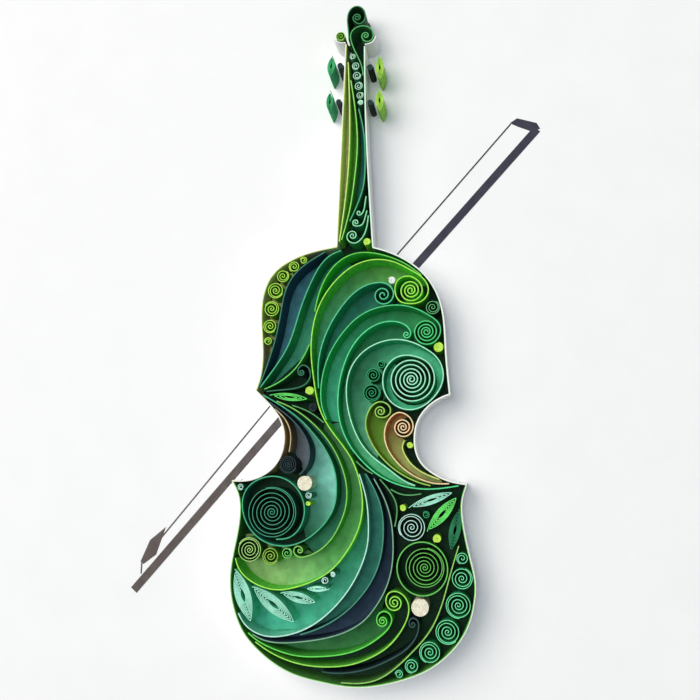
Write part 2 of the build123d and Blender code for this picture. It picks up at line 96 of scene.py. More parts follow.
sheet_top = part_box("backing_sheet")[1].z / MM
floor_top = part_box("floor_card")[1].z / MM
strip_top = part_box("sweep_lime")[1].z / MM


# Lines read from the frame

def top_loops(node):
    """Loops of points round the top faces of a node.

    Outer loops run anticlockwise, holes clockwise. Each starts at its lowest corner, because
    the order of a set differs from run to run.
    """
    mesh = bmesh.new()
    mesh.from_mesh(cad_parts[node].data)
    bmesh.ops.remove_doubles(mesh, verts=mesh.verts, dist=WELD)
    top = max(vertex.co.z for vertex in mesh.verts)
    faces = {face for face in mesh.faces if min(v.co.z for v in face.verts) > top - WELD}
    follow = {}
    for face in faces:
        for loop in face.loops:
            if sum(other in faces for other in loop.edge.link_faces) == 1:
                follow[loop.vert] = loop.link_loop_next.vert
    loops = []
    while follow:
        vertex = min(follow, key=lambda corner: (round(corner.co.y, 6), round(corner.co.x, 6)))
        points = []
        while vertex in follow:
            points.append((vertex.co.x / MM, vertex.co.y / MM))
            vertex = follow.pop(vertex)
        loops.append(np.array(points))
    mesh.free()
    loops.sort(key=lambda points: (round(points[:, 0].min(), 3), round(points[:, 1].min(), 3)))
    return loops


def turned_area(points):
    """Area inside a loop, positive where it runs anticlockwise."""
    after = np.roll(points, -1, axis=0)
    return float(np.sum(points[:, 0] * after[:, 1] - after[:, 0] * points[:, 1])) / 2


def centre_line(loop, thickness):
    """Middle of a strip from the loop round it, or None where the loop is no strip."""
    count = len(loop)
    best = None
    for split in range(count):
        pairs = [
            (loop[(split + i) % count], loop[(split - 1 - i) % count]) for i in range(count // 2)
        ]
        widths = [hypot(*(a - b)) for a, b in pairs]
        miss = sum(abs(width - thickness) for width in widths) / len(widths)
        if best is None or miss < best[0]:
            best = (miss, [(a + b) / 2 for a, b in pairs])
    if best[0] > thickness:
        return None
    return np.array(best[1])


def smooth(points):
    """A natural cubic spline through points, sampled about every STEP."""
    points = np.asarray(points, float)
    gaps = np.hypot(*np.diff(points, axis=0).T)
    keep = [0] + [i + 1 for i, gap in enumerate(gaps) if gap > SAME_PLACE]
    points = points[keep]
    knots = np.concatenate([[0], np.cumsum(np.hypot(*np.diff(points, axis=0).T))])
    count = len(points)
    spans = np.diff(knots)
    system = np.zeros((count, count))
    right = np.zeros((count, 2))
    system[0, 0] = system[-1, -1] = 1
    for i in range(1, count - 1):
        system[i, i - 1] = spans[i - 1]
        system[i, i] = 2 * (spans[i - 1] + spans[i])
        system[i, i + 1] = spans[i]
        slope = (points[i] - points[i - 1]) / spans[i - 1]
        right[i] = 6 * ((points[i + 1] - points[i]) / spans[i] - slope)
    curve = np.linalg.solve(system, right)
    places = np.linspace(0, knots[-1], max(3, ceil(knots[-1] / STEP)) + 1)
    index = np.clip(np.searchsorted(knots, places, side="right") - 1, 0, count - 2)
    span = spans[index][:, None]
    a = (knots[index + 1] - places)[:, None]
    b = (places - knots[index])[:, None]
    return (
        curve[index] * a**3 / (6 * span)
        + curve[index + 1] * b**3 / (6 * span)
        + (points[index] / span - curve[index] * span / 6) * a
        + (points[index + 1] / span - curve[index + 1] * span / 6) * b
    )


def turning(points):
    """Degrees that a line turns through in all, either way."""
    steps = np.diff(points, axis=0)
    angles = np.arctan2(steps[:, 1], steps[:, 0])
    change = (np.diff(angles) + pi) % (2 * pi) - pi
    return float(np.degrees(np.sum(np.abs(change))))


def directed(points):
    """The line, from its rolled end or else from its end nearer to the scroll."""
    head = turning(points[: len(points) // 2])
    tail = turning(points[len(points) // 2:])
    if max(head, tail) > ROLLED:
        return points if head > tail else points[::-1]
    return points if points[0][1] >= points[-1][1] else points[::-1]


def lines_of(node, thickness=PAPER):
    """Smooth lines of all the strips of a node."""
    found = []
    for loop in top_loops(node):
        line = centre_line(loop, thickness)
        if line is not None:
            found.append(smooth(directed(line)))
    return found


def left_of(line, closed=False):
    """Unit steps to the left of a line, one at each of its places."""
    if closed:
        ahead = np.roll(line, -1, axis=0) - np.roll(line, 1, axis=0)
    else:
        ahead = np.gradient(line, axis=0)
    ahead /= np.hypot(*ahead.T)[:, None]
    return np.column_stack([-ahead[:, 1], ahead[:, 0]])


def middle_and_radius(rim):
    """Of the round whose outline is rim."""
    low, high = rim.min(0), rim.max(0)
    return (low + high) / 2, float(max(high - low)) / 2


# Meshes

class Piece:
    """Faces of one piece of paper work, gathered strip by strip."""

    def __init__(self, name, node, slot, materials):
        self.name = name
        self.node = node
        self.slot = slot
        self.materials = materials
        self.points = []
        self.faces = []
        self.looks = []

    def ribbon(
        self, line, base, top, thickness=PAPER, uneven=UNEVEN, closed=False,
        sides=(0, 0, 1), lip=None,
    ):
        """A strip on edge along a line. sides are the looks of its left, its right and its top.

        A lip is the look of the left half of its top, where one paper lines another.
        """
        start = len(self.points)
        lowered = random.uniform(*LOWERED)
        phase = random.uniform(*ANY_ANGLE)
        wave = random.uniform(*WAVES)
        outer = thickness / 2
        inner = outer - EDGE_BEVEL
        seam = inner if lip is None else 0.0
        for index, (place, side) in enumerate(zip(line, left_of(line, closed))):
            rise = sin(phase + index * STEP / wave * 2)
            rim = top - lowered - uneven * (0.5 + 0.5 * rise)
            for offset, height in (
                (outer, base), (outer, rim - EDGE_BEVEL), (seam, rim),
                (-inner, rim), (-outer, rim - EDGE_BEVEL), (-outer, base),
            ):
                spot = place + side * offset
                self.points.append((spot[0] * MM, spot[1] * MM, height * MM))
        count = len(line)
        left, right, over = sides
        looks = (left, over if lip is None else lip, over, over, right, right)
        for index in range(count if closed else count - 1):
            here = start + PROFILE * index
            there = start + PROFILE * ((index + 1) % count)
            for k in range(PROFILE):
                after = (k + 1) % PROFILE
                self.faces.append((here + k, here + after, there + after, there + k))
                self.looks.append(looks[k])
        if not closed:
            last = start + PROFILE * (count - 1)
            self.faces.append(tuple(start + k for k in reversed(range(PROFILE))))
            self.faces.append(tuple(last + k for k in range(PROFILE)))
            self.looks += [over, over]

    def place(self):
        """Make the object."""
        mesh = bpy.data.meshes.new(self.name)
        mesh.from_pydata(self.points, [], self.faces)
        for material in self.materials:
            mesh.materials.append(material)
        mesh.polygons.foreach_set("material_index", self.looks)
        mesh.polygons.foreach_set("use_smooth", [True] * len(self.faces))
        mesh.update()
        mesh.set_sharp_from_angle(angle=SHARP_ANGLE)
        piece = bpy.data.objects.new(self.name, mesh)
        bpy.context.scene.collection.objects.link(piece)
        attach(piece, "root")
        if self.node:
            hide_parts(self.node)
        return piece


def spiral(centre, radius, pitch, eye=OPEN_EYE, start=0.0, growth=1.0):
    """Line of a coil from its eye to its rim.

    Its last turn closes against the turn inside it.
    """
    outer = radius - THIN / 2
    inner = outer - THIN - TURN_GAP
    turns = max(LEAST_TURNS, (inner - eye) / pitch)
    points = []
    around = 6.3 * outer  # or a little less
    steps = max(LEAST_STEPS, round(around / STEP))
    total = ceil((turns + 1) * steps)
    for index in range(total + 1):
        back = (total - index) / steps
        if back < 1:
            reach = outer - (outer - inner) * back
        else:
            reach = eye + (inner - eye) * max(0, 1 - (back - 1) / turns) ** growth
        angle = start - 2 * pi * back
        points.append((centre[0] + reach * cos(angle), centre[1] + reach * sin(angle)))
    return np.array(points)


# Materials

def linear(colour):
    """Shader colour of a screen's colour, 0 to 255."""
    return [
        ((c / 255 + 0.055) / 1.055) ** 2.4 if c > 10 else c / 255 / 12.92 for c in colour
    ] + [1]


def new_material(name, roughness, specular):
    """A material, its nodes, its links and its shader."""
    material = bpy.data.materials.new(name)
    material.use_nodes = True
    nodes = material.node_tree.nodes
    shader = nodes["Principled BSDF"]
    shader.inputs["Roughness"].default_value = roughness
    shader.inputs["Specular IOR Level"].default_value = specular
    return material, nodes, material.node_tree.links, shader


# Surface of a paper: scale and strength of the bump, and its depth in metres
FIBRES = (5200, 0.25, 0.00004)
PEBBLES = (520, 0.35, 0.00012)
MOTTLE_ENDS = (0.35, 0.65)  # values of the noise at which a colour is the first or the second


def grain(nodes, links, shader, scale, strength, depth_m):
    """Bump of a paper's surface. Returns the node whose Object places it uses."""
    place = nodes.new("ShaderNodeTexCoord")
    noise = nodes.new("ShaderNodeTexNoise")
    noise.inputs["Scale"].default_value = scale
    noise.inputs["Detail"].default_value = 3
    bump = nodes.new("ShaderNodeBump")
    bump.inputs["Strength"].default_value = strength
    bump.inputs["Distance"].default_value = depth_m
    links.new(place.outputs["Object"], noise.inputs["Vector"])
    links.new(noise.outputs["Fac"], bump.inputs["Height"])
    links.new(bump.outputs["Normal"], shader.inputs["Normal"])
    return place


def mottled(nodes, links, place, scale, colours):
    """Output of a colour that wanders between two colours."""
    noise = nodes.new("ShaderNodeTexNoise")
    noise.inputs["Scale"].default_value = scale
    noise.inputs["Detail"].default_value = 4
    ramp = nodes.new("ShaderNodeValToRGB")
    for element, position, colour in zip(ramp.color_ramp.elements, MOTTLE_ENDS, colours):
        element.position = position
        element.color = linear(colour)
    links.new(place.outputs["Object"], noise.inputs["Vector"])
    links.new(noise.outputs["Fac"], ramp.inputs["Fac"])
    return ramp.outputs["Color"]


def shades(colour, amount):
    """A darker and a lighter shade of a colour."""
    return [c * (1 - amount) for c in colour], [min(255, c * (1 + amount)) for c in colour]


def paper(name, colour, amount=0.07):
    """Coloured paper: slightly uneven colour and a fine fibre grain."""
    material, nodes, links, shader = new_material(name, roughness=0.72, specular=0.3)
    place = grain(nodes, links, shader, *FIBRES)
    cloud = mottled(nodes, links, place, scale=700, colours=shades(colour, amount))
    links.new(cloud, shader.inputs["Base Color"])
    return material


def ink_and_painted_light_paper(name, near, far, colour_near, colour_far):
    """Paper whose colour runs from one place to another. On the floor papers the run is painted
    light and shade, for how much light reaches down between the strips; on the drawn bow it is
    the ink's own colour.
    """
    material, nodes, links, shader = new_material(name, roughness=0.8, specular=0.2)
    place = grain(nodes, links, shader, *FIBRES)
    way = np.array(far, float) - np.array(near, float)
    along = nodes.new("ShaderNodeVectorMath")
    along.operation = "SUBTRACT"
    along.inputs[1].default_value = (near[0] * MM, near[1] * MM, 0)
    share = nodes.new("ShaderNodeVectorMath")
    share.operation = "DOT_PRODUCT"
    length = float(way @ way)
    share.inputs[1].default_value = (way[0] / length / MM, way[1] / length / MM, 0)
    links.new(place.outputs["Object"], along.inputs[0])
    links.new(along.outputs["Vector"], share.inputs[0])
    ramp = nodes.new("ShaderNodeValToRGB")
    ramp.color_ramp.elements[0].color = linear(colour_near)
    ramp.color_ramp.elements[1].color = linear(colour_far)
    links.new(share.outputs["Value"], ramp.inputs["Fac"])
    cloud = mottled(nodes, links, place, scale=300, colours=((225, 225, 225), (255, 255, 255)))
    mix = nodes.new("ShaderNodeMix")
    mix.data_type = "RGBA"
    mix.blend_type = "MULTIPLY"
    mix.inputs["Factor"].default_value = 1
    links.new(ramp.outputs["Color"], mix.inputs["A"])
    links.new(cloud, mix.inputs["B"])
    links.new(mix.outputs["Result"], shader.inputs["Base Color"])
    return material


def sheet_paper(name, colour):
    """Heavy white paper with the pebbled surface of drawing paper."""
    material, nodes, links, shader = new_material(name, roughness=0.9, specular=0.15)
    place = grain(nodes, links, shader, *PEBBLES)
    cloud = mottled(nodes, links, place, scale=60, colours=shades(colour, amount=0.004))
    links.new(cloud, shader.inputs["Base Color"])
    return material


# Each strip's colours, 0 to 255, of its faces and of its top edge, and its slot
# A strip's faces and top edge are one paper. The top edge's lighter colour is a painted
# highlight, where the top catches the light.
LOOKS = {
    "scroll_top": ((33, 93, 55), (57, 140, 83), "dark_green_paper"),
    "scroll_right_curl": ((55, 131, 72), (93, 183, 105), "green_paper"),
    "neck_strip_lime": ((186, 240, 112), (216, 246, 134), "lime_paper"),
    "neck_strip_green": ((106, 196, 76), (150, 232, 106), "green_paper"),
    "neck_strip_teal": ((48, 136, 96), (84, 182, 124), "teal_paper"),
    "neck_curls": ((62, 160, 108), (150, 236, 178), "green_paper"),
    "sweep_navy": ((41, 72, 100), (59, 133, 107), "navy_paper"),
    "sweep_slate": ((46, 148, 118), (76, 194, 135), "teal_paper"),
    "sweep_corner": ((65, 153, 81), (107, 214, 96), "green_paper"),
    "sweep_shoulder": ((59, 187, 76), (105, 218, 85), "green_paper"),
    "sweep_lime": ((109, 225, 74), (168, 244, 87), "lime_paper"),
    "sweep_teal": ((41, 161, 124), (85, 205, 150), "teal_paper"),
    "sweep_green": ((48, 181, 109), (81, 211, 126), "green_paper"),
    "sweep_leaf": ((50, 192, 126), (92, 227, 148), "lime_paper"),
    "sweep_mint": ((65, 194, 146), (170, 248, 205), "mint_paper"),
    "curl_dark_teal": ((31, 83, 68), (55, 126, 96), "teal_paper"),
    "curl_olive": ((135, 179, 68), (159, 216, 94), "olive_paper"),
    "curl_tan": ((233, 170, 107), (248, 223, 172), "tan_paper"),
    "waist_strip_lime": ((157, 179, 78), (214, 231, 126), "lime_paper"),
    "waist_strip_tan": ((164, 142, 102), (198, 179, 135), "tan_paper"),
    "waist_strip_navy": ((37, 63, 74), (57, 89, 96), "navy_paper"),
    "band_teal": ((46, 144, 113), (72, 181, 131), "teal_paper"),
    "band_green": ((81, 155, 74), (135, 207, 94), "green_paper"),
    "band_mint": ((122, 214, 187), (190, 248, 224), "mint_paper"),
    "band_dark": ((50, 100, 105), (68, 148, 118), "dark_green_paper"),
    "band_light_green": ((50, 72, 92), (126, 177, 142), "lime_paper"),
    "branch_strips": ((46, 105, 72), (92, 164, 98), "green_paper"),
    "base_curl_lime": ((92, 185, 61), (155, 235, 89), "lime_paper"),
    "base_curl_green": ((70, 187, 63), (105, 227, 87), "green_paper"),
    "base_curl_slate": ((28, 50, 57), (52, 89, 83), "navy_paper"),
    "edge_strip": ((76, 135, 61), (148, 207, 100), "lime_paper"),
}
# Coils also have the pitch of their turns. Their top edge's lighter colour is a painted
# highlight too.
COILS = {
    "scroll_left_coil": ((100, 164, 55), (144, 207, 83), "lime_paper", 0.8),
    "neck_coils": ((85, 164, 122), (195, 248, 212), "mint_paper", 0.85),
    "shoulder_coils": ((131, 198, 57), (191, 248, 92), "lime_paper", 0.95),
    "rings_dark_green": ((26, 109, 70), (46, 166, 105), "dark_green_paper", 0.95),
    "beads_lime": ((164, 229, 61), (201, 248, 91), "lime_paper", TIGHT_PITCH),
    "beads_cream": ((248, 234, 202), (252, 242, 218), "cream_paper", TIGHT_PITCH),
    "coils_mint": ((65, 133, 113), (200, 248, 229), "mint_paper", 1.15),
    "coils_dark": ((24, 39, 44), (44, 65, 70), "navy_paper", 0.6),
    "coil_big_dark": ((22, 81, 68), (72, 164, 126), "dark_green_paper", 1.25),
    "coil_big_green": ((39, 107, 44), (109, 203, 92), "green_paper", 1.1),
    "coils_green": ((65, 122, 50), (181, 231, 133), "green_paper", 0.95),
    "coil_chain": ((52, 170, 112), (120, 236, 166), "mint_paper", 1.05),
}
# Marquises, which are coils pinched to two tips. Their top edge's lighter colour is a painted
# highlight too.
EYES = {
    "marquises_mint": ((109, 218, 183), (176, 250, 220), "mint_paper"),
    "marquises_green": ((57, 170, 76), (113, 242, 113), "green_paper"),
    "pegs_left": ((44, 150, 96), (68, 183, 113), "green_paper"),
    "pegs_right": ((137, 203, 65), (174, 227, 85), "lime_paper"),
}
# Middles of the marquises whose line starts at the upper tip. The others' start at the lower
UPPER_FIRST = [(25.6, -58.8), (29.2, -63.4)]
# Members of another colour than the rest of their node: middle, face and edge, the edge's
# lighter colour being a painted highlight
ODD = {
    "coils_green": [
        ((-29.0, -77.9), (105, 159, 48), (159, 214, 85)),
        ((-23.3, -76.8), (63, 164, 68), (122, 218, 105)),
        ((26.6, 6.3), (39, 109, 63), (100, 185, 118)),
    ],
    "beads_cream": [((12.6, 16.2), (232, 248, 238), (240, 252, 244))],
    "marquises_green": [((33.0, -69.2), (28, 100, 70), (41, 133, 87))],
}


def pair_of(node, face, edge):
    """Papers of a node: a face and an edge, whose lighter colour is a painted highlight on the
    lit top, and the same again for each odd member.
    """
    pairs = [paper(f"{node}_face", face), paper(f"{node}_edge", edge, amount=0.05)]
    for index, (_, face, edge) in enumerate(ODD.get(node, [])):
        pairs.append(paper(f"{node}_face_{index}", face))
        pairs.append(paper(f"{node}_edge_{index}", edge, amount=0.05))
    return pairs


def looks_of(node, middle):
    """Which of its node's papers a member has on its left, on its right and on top."""
    for index, (spot, _, _) in enumerate(ODD.get(node, [])):
        if hypot(*(middle - np.array(spot))) < SAME_SPOT:
            return (2 + 2 * index, 2 + 2 * index, 3 + 2 * index)
    return (0, 0, 1)


lines = {}
for node, (face, edge, slot) in LOOKS.items():
    lines[node] = lines_of(node)
    piece = Piece(f"quilled_{node}", node, slot, pair_of(node, face, edge))
    for line in lines[node]:
        piece.ribbon(line, floor_top, strip_top)
    piece.place()

for node, (face, edge, slot, pitch) in COILS.items():
    piece = Piece(f"quilled_{node}", node, slot, pair_of(node, face, edge))
    loops = top_loops(node)
    holes = [loop for loop in loops if turned_area(loop) < 0]
    rims = [loop for loop in loops if turned_area(loop) > 0]
    if holes:
        ring = max(rims, key=turned_area)
        rims = [loop for loop in rims if loop is not ring]
        middle = (ring.min(0) + ring.max(0)) / 2
        half = (ring.max(0) - ring.min(0)) / 2 - PAPER / 2
        angles = np.arange(0, 2 * pi, 2 * pi / OVAL_STEPS)
        oval = middle + half * np.column_stack([np.cos(angles), np.sin(angles)])
        piece.ribbon(oval, floor_top, strip_top, closed=True)
    for rim in rims:
        middle, radius = middle_and_radius(rim)
        start = random.uniform(*ANY_ANGLE)
        if len(rim) <= ROUND_POINTS or pitch == TIGHT_PITCH:
            line = spiral(middle, radius, TIGHT_PITCH, eye=TIGHT_EYE, start=start)
        else:
            line = spiral(middle, radius, pitch, start=start, growth=OPEN_GROWTH)
        sides = looks_of(node, middle)
        piece.ribbon(line, floor_top, strip_top, thickness=THIN, uneven=COIL_UNEVEN, sides=sides)
    piece.place()


def eye_line(tip_a, tip_b, width, turns):
    """Line of a coil pinched at two tips."""
    middle = (tip_a + tip_b) / 2
    along = (tip_b - tip_a) / 2
    across = np.array([-along[1], along[0]]) / hypot(*along) * width / 2
    points = []
    total = turns * EYE_STEPS
    for index in range(total + 1):
        share = index / total
        angle = 2 * pi * turns * share
        size = EYE_FIRST + (1 - EYE_FIRST) * share
        aside = across * size * sin(angle) * abs(sin(angle))
        points.append(middle + along * size * cos(angle) + aside)
    return np.array(points)


for node, (face, edge, slot) in EYES.items():
    piece = Piece(f"quilled_{node}", node, slot, pair_of(node, face, edge))
    for loop in top_loops(node):
        apart = np.hypot(*(loop[:, None] - loop[None, :]).transpose(2, 0, 1))
        a, b = np.unravel_index(np.argmax(apart), apart.shape)
        tip_a, tip_b = sorted((loop[a], loop[b]), key=lambda tip: tip[1])
        middle = (tip_a + tip_b) / 2
        if any(hypot(*(middle - np.array(spot))) < SAME_SPOT for spot in UPPER_FIRST):
            tip_a, tip_b = tip_b, tip_a
        along = (tip_b - tip_a) / hypot(*(tip_b - tip_a))
        across = np.array([-along[1], along[0]])
        reach = (loop - middle) @ across
        width = reach.max() - reach.min()
        turns = max(3, round(width / EYE_PITCH))
        inset = along * TIP_INSET
        line = eye_line(tip_a + inset, tip_b - inset, width - PAPER, turns)
        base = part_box(node)[0].z / MM
        sides = looks_of(node, middle)
        piece.ribbon(line, base, strip_top, thickness=THIN, uneven=COIL_UNEVEN, sides=sides)
    piece.place()

# The shafts' top edge colour, lighter than their face, is a painted highlight.
shaft_papers = pair_of("peg_shafts", (15, 28, 33), (37, 63, 65))
shafts = Piece("quilled_peg_shafts", "peg_shafts", "navy_paper", shaft_papers)
for rim in top_loops("peg_shafts"):
    line = spiral(*middle_and_radius(rim), TIGHT_PITCH, eye=TIGHT_EYE)
    shafts.ribbon(line, sheet_top, strip_top, thickness=THIN, uneven=COIL_UNEVEN)
shafts.place()

# The outline's walls are white card outside and coloured paper inside.
# For each wall: the colours of the paper and of its top edge, and whether the wall runs down,
# which keeps the paper on its left. A top edge's colour is a painted highlight where the top
# catches the light. The neck's and the upper bout's left linings are written near white, far
# lighter than their olive paper: painted light, for the light that shines through the card onto
# them
LININGS = {
    "wall_neck_left": ((250, 236, 196), (225, 242, 137), True),
    "wall_upper_left": ((250, 236, 184), (214, 233, 120), True),
    "wall_waist_left": ((214, 192, 133), (246, 244, 225), True),
    "wall_lower": ((85, 155, 68), (131, 214, 100), False),
    "wall_waist_right": ((76, 144, 70), (242, 248, 233), False),
    "wall_upper_right": ((50, 118, 74), (225, 248, 223), False),
    "wall_neck_right": ((61, 129, 92), (201, 248, 216), False),
}
white = bpy.data.materials["white_card"]  # the frame's own
card_lines = []
for node, (lining, lip, down) in LININGS.items():
    looks = [paper(f"{node}_lining", lining), white, paper(f"{node}_lip_highlight", lip, amount=0.03)]
    piece = Piece(f"card_{node}", node, "white_card", looks)
    for line in lines_of(node, CARD):
        if node == "wall_lower":  # runs from left to right
            ahead = line[0][0] < line[-1][0]
        else:
            ahead = (line[0][1] > line[-1][1]) == down
        line = line if ahead else line[::-1]
        card_lines.append(line)
        piece.ribbon(
            line, sheet_top, strip_top, thickness=CARD, uneven=0.0, sides=(0, 1, 1), lip=2,
        )
    piece.place()
scroll = Piece("card_scroll_walls", "scroll_walls", "white_card", [white, white])
for line in lines_of("scroll_walls"):
    scroll.ribbon(line, sheet_top, strip_top, uneven=0.0)
scroll.place()


# Coloured papers on the floor, each between two strips

def stretch(node, near, far):
    """The part of a strip's line between the places nearest to two points."""
    line = lines[node][0]
    first = int(np.argmin(np.hypot(*(line - np.array(near)).T)))
    last = int(np.argmin(np.hypot(*(line - np.array(far)).T)))
    return line[first : last + 1] if first <= last else line[last : first + 1][::-1]


def even_side(side):
    """Places spread evenly along a side, which is a stretch or else a list of places."""
    line = stretch(*side) if isinstance(side[0], str) else np.array(side, float)
    along = np.concatenate([[0], np.cumsum(np.hypot(*np.diff(line, axis=0).T))])
    at = np.linspace(0, along[-1], FLOOR_STEPS + 1)
    return np.column_stack([np.interp(at, along, line[:, k]) for k in (0, 1)])


def floor_paper(name, side_a, side_b, colour_near, colour_far, level):
    """A paper that fills the space between two sides."""
    a, b = even_side(side_a), even_side(side_b)
    near, far = (a[0] + b[0]) / 2, (a[-1] + b[-1]) / 2
    # The paper's colour and its run from end to end are painted light and shade over its own
    # hue.
    material = ink_and_painted_light_paper(f"{name}_paper", near, far, colour_near, colour_far)
    height = (floor_top + FLOOR_LAYER * (1 + level)) * MM
    points = [(x * MM, y * MM, height) for x, y in [*a, *b]]
    first_b = FLOOR_STEPS + 1
    faces = [(i, i + 1, first_b + i + 1, first_b + i) for i in range(FLOOR_STEPS)]
    mesh = bpy.data.meshes.new(name)
    mesh.from_pydata(points, [], faces)
    mesh.materials.append(material)
    mesh.update()
    if mesh.polygons[FLOOR_STEPS // 2].normal.z < 0:
        mesh.flip_normals()
    piece = bpy.data.objects.new(name, mesh)
    bpy.context.scene.collection.objects.link(piece)
    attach(piece, "root")


def arc(middle, radius, first, last):
    """Places on an arc between two angles in degrees."""
    angles = [radians(angle) for angle in range(first, last, 15)]
    return [(middle[0] + radius * cos(a), middle[1] + radius * sin(a)) for a in angles]


# For each paper: its two sides, each a stretch of a strip or a list of places, and its colours
# where the sides begin and where they end. The colours are the papers' own hues, written lighter
# than the papers look to make up for the strips' shade on them, and their run from one end to
# the other follows how much light reaches down: painted light and shade.
FLOORS = {
    "floor_slate": (
        ("sweep_navy", (-10.9, 27), (-33.6, -19.5)),
        ("sweep_slate", (-5.2, 27.3), (-33.5, -20.6)),
        (76, 136, 150), (108, 176, 192),
    ),
    "floor_teal": (
        ("sweep_slate", (-5.2, 27.3), (-33.5, -20.6)),
        ("sweep_lime", (-1.2, 21.4), (-15.5, -4.3)),
        (72, 164, 140), (96, 196, 164),
    ),
    "floor_leaf": (
        ("sweep_lime", (24, 16), (-11.8, -29.7)),
        ("sweep_teal", (7.9, 15.4), (-12.8, -21.1)),
        (102, 174, 85), (94, 203, 168),
    ),
    "floor_sea": (
        ("sweep_teal", (7.9, 15.4), (-12.8, -21.1)),
        ("sweep_green", (19.3, 6.5), (-11.8, -19.4)),
        (50, 129, 105), (81, 179, 157),
    ),
    "floor_fern": (
        ("sweep_green", (25.8, 3.2), (-9.9, -32)),
        ("sweep_leaf", (18.6, -1.3), (-5.2, -32.5)),
        (65, 166, 102), (100, 222, 183),
    ),
    "floor_jade": (
        ("sweep_leaf", (18.6, -1.3), (19.4, -54.9)),
        ("sweep_mint", (28.5, -11.9), (20.2, -54.1)),
        (63, 150, 102), (131, 248, 184),
    ),
    "floor_pool": (
        ("sweep_mint", (-1.8, -15), (6.5, -45.1)),
        ("curl_olive", (6, -27.2), (7.2, -42.5)),
        (84, 176, 132), (146, 236, 196),
    ),
    "floor_olive": (
        ("curl_olive", (6, -27.2), (25.3, -54.1)),
        ("curl_tan", (12.4, -31.1), (31.5, -53.4)),
        (133, 187, 63), (164, 231, 109),
    ),
    "floor_tan": (
        ("curl_tan", (10.3, -34.9), (29, -53.2)),
        ("waist_strip_lime", (16.8, -39.2), (28.3, -52)),
        (204, 206, 120), (206, 228, 144),
    ),
    "floor_waist": (
        ("waist_strip_tan", (-28.1, -28.2), (-22.9, -43)),
        ("waist_strip_navy", (-30.1, -25.9), (-19.2, -50.7)),
        (124, 130, 130), (140, 150, 158),
    ),
    "floor_bay": (
        ("waist_strip_navy", (-30.1, -25.9), (-19.2, -50.7)),
        ("band_teal", (-32.5, -23.3), (-6.4, -54.1)),
        (100, 174, 161), (166, 250, 230),
    ),
    "floor_band": (
        ("band_teal", (-26.7, -26.9), (-19.3, -73.6)),
        ("band_green", (-27.6, -25.5), (-16, -77.7)),
        (59, 146, 109), (81, 174, 131),
    ),
    "floor_lime": (
        ("band_green", (-12.8, -35.1), (-16, -77.7)),
        ("sweep_lime", (-11.8, -29.7), (-26.7, -89)),
        (92, 156, 100), (128, 204, 124),
    ),
    "floor_fan": (
        ("sweep_lime", (-0.3, -47.2), (-41.1, -78.9)),
        ("band_mint", (1.4, -50.4), (-39.7, -97)),
        (82, 164, 128), (90, 204, 172),
    ),
    "floor_mint": (
        ("band_mint", (1.4, -50.4), (-30.8, -104)),
        ("band_dark", (3.6, -50.3), (-18.3, -103.3)),
        (83, 174, 150), (81, 174, 146),
    ),
    "floor_night": (
        ("band_dark", (3.6, -50.3), (-18.3, -103.3)),
        ("band_light_green", (6.4, -51.9), (-26.5, -106.1)),
        (63, 85, 102), (68, 92, 116),
    ),
    "floor_base": (
        ("band_light_green", (10.4, -87.5), (-34.6, -103.7)),
        ("base_curl_green", (7.9, -96), (-36.2, -103.3)),
        (68, 140, 83), (76, 150, 89),
    ),
    "floor_pond": (
        ("band_teal", (-22, -54.2), (-19.4, -69.2)),
        ("band_teal", (-7.6, -48.4), (-18.5, -73.4)),
        (166, 250, 230), (72, 159, 116),
    ),
    "floor_meadow": (
        ("sweep_lime", (-8.8, -82.8), (-41.1, -78.9)),
        [(-12, -75.9), (-16, -77.7), (-21, -75), (-28, -74.6), (-34, -71.6), (-40.2, -71.5)],
        (128, 196, 122), (186, 224, 140),
    ),
    "floor_ring": (
        ("sweep_mint", (12.7, -11.9), (28.5, -11.9)),
        arc((19.3, -18.5), 8.2, 135, 420),
        (109, 246, 187), (113, 240, 185),
    ),
    "floor_crest": (
        ("sweep_mint", (29, -13.5), (-2.5, -18)),
        [(27, -14), (22.5, -10.6), (18.6, -10.2), (14.2, -10.9), (10.7, -13.8),
         (9.3, -18.6), (10.1, -23.3), (6.2, -28)],
        (105, 220, 170), (81, 164, 120),
    ),
    "floor_hook": (
        ("curl_tan", (17.5, -30.5), (10.2, -36.5)),
        [(16.6, -31), (13.8, -32.3), (12.8, -35), (13.6, -37.5), (16.8, -39.4)],
        (225, 172, 105), (214, 187, 107),
    ),
    "floor_tail": (
        ("sweep_lime", (-13.8, -22.1), (-9, -34)),
        ("sweep_green", (-11.8, -19.4), (-9.9, -32)),
        (164, 246, 220), (100, 181, 140),
    ),
    "floor_spur": (
        ("sweep_lime", (-9.6, -33), (-2.5, -44)),
        ("sweep_leaf", (-5.4, -32), (-0.5, -43)),
        (96, 174, 135), (70, 144, 109),
    ),
    "floor_neck_left": (
        [(-4, 100), (-5, 72), (-5.9, 44), (-6.3, 31)],
        ("neck_strip_lime", (-2.9, 97.4), (-5.8, 30.6)),
        (250, 238, 172), (250, 238, 172),
    ),
    "floor_neck_middle": (
        ("neck_strip_lime", (-2.5, 88), (-5.8, 30.6)),
        ("neck_strip_green", (-1.9, 90.4), (-5, 31.2)),
        (124, 186, 64), (140, 204, 74),
    ),
    "floor_neck_right": (
        ("neck_strip_green", (-0.9, 81.2), (-3.3, 37.4)),
        ("neck_strip_teal", (1, 79.4), (-2.1, 37.9)),
        (52, 142, 136), (90, 176, 166),
    ),
    "floor_shoulder": (
        [(-15, 26), (-22.5, 24), (-28, 20), (-31.6, 14.8), (-32.9, 8.5), (-32.9, -0.4),
         (-32.4, -9), (-33.3, -17)],
        ("sweep_navy", (-14, 25), (-33.6, -19.5)),
        (248, 242, 151), (248, 239, 147),
    ),
}
